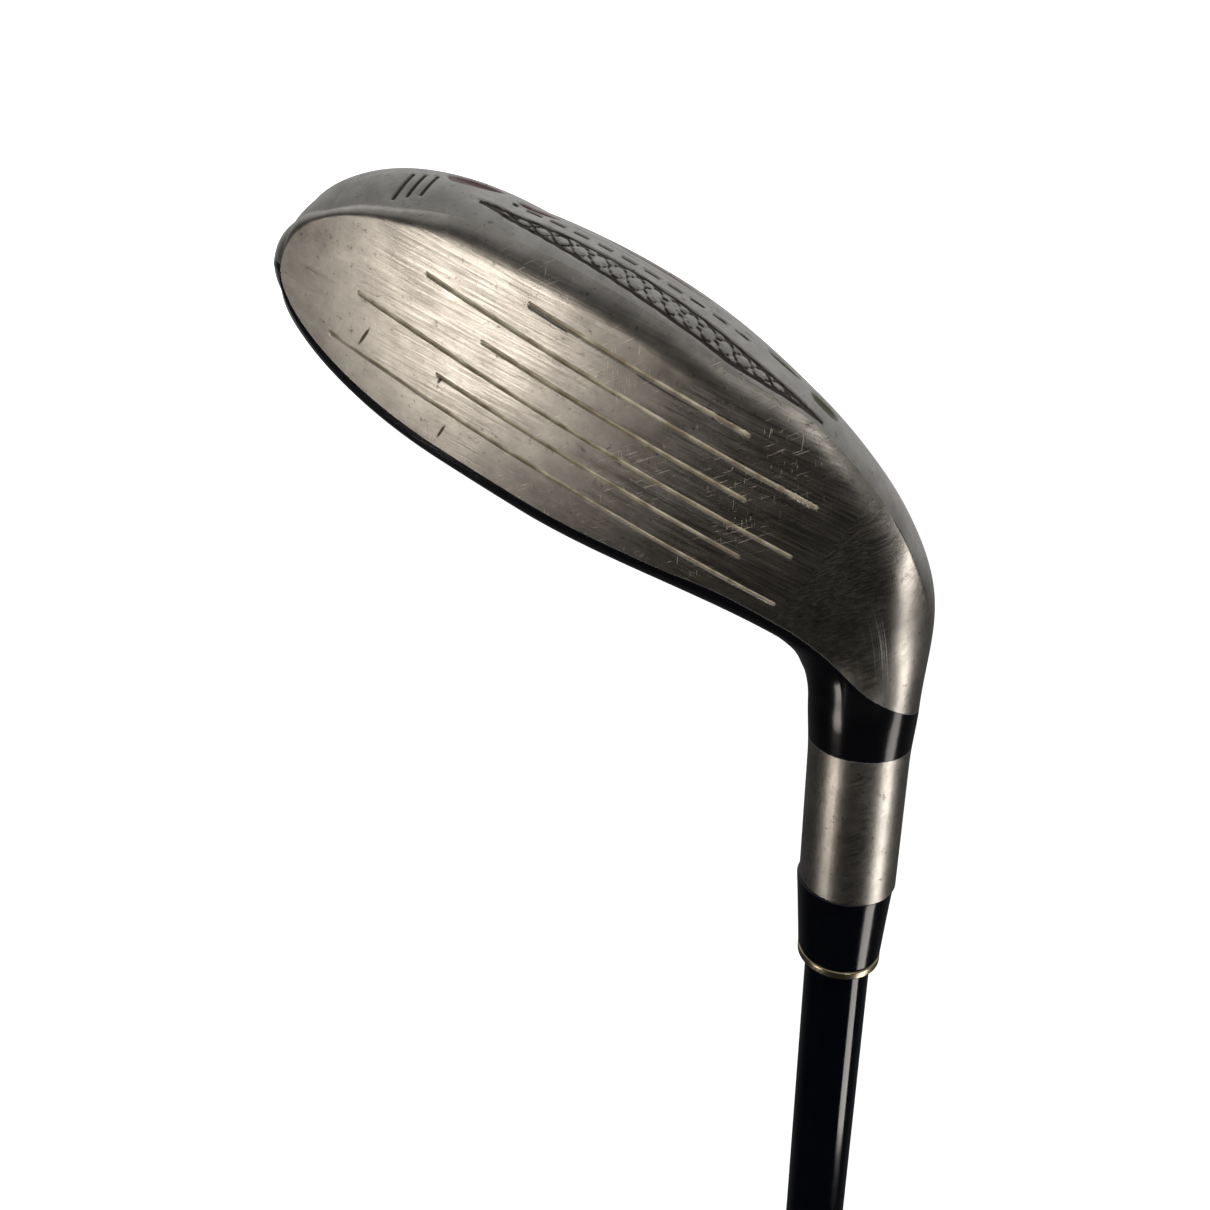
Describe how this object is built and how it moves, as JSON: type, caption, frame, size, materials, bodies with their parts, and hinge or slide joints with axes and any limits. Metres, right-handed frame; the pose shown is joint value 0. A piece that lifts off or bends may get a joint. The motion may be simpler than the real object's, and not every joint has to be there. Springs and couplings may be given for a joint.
{
  "type": "hybrid golf club",
  "caption": "Left-handed hybrid golf club: hollow steel head with scored face and steel hosel, ferrule, tapered graphite shaft and rubber grip.",
  "frame": {"origin": "middle of the grip cap's flat end, on the shaft axis", "axes": "+Z along the shaft axis from butt to head; the face looks along -Y; the head's sole faces +X and up, its toe -X and up"},
  "size_m": [0.089, 0.0482, 1.0443],
  "materials": {
    "satin_steel": "brushed satin",
    "painted_steel": "gloss black",
    "black_graphite": "gloss lacquer",
    "ferrule_plastic": "gloss",
    "trim_metal": "polished",
    "grip_rubber": "matt, moulded pattern",
    "cap_rubber": "matt",
    "grip_tape": "matt",
    "weight_alloy": "as sintered",
    "pin_brass": "turned",
    "hot_melt": "sticky resin",
    "plug_plastic": "moulded"
  },
  "bodies": {
    "root": {"body_casting": "painted_steel", "sole_plate": "satin_steel", "face_plate": "satin_steel", "rear_weight": "weight_alloy", "hot_melt_pad": "hot_melt", "hosel_plug": "plug_plastic", "shaft": "black_graphite", "tip_weight_pin": "pin_brass", "ferrule": "ferrule_plastic", "ferrule_ring": "trim_metal", "grip_tape": "grip_tape", "grip_sleeve": "grip_rubber", "grip_cap": "cap_rubber"}
  },
  "joints": []
}
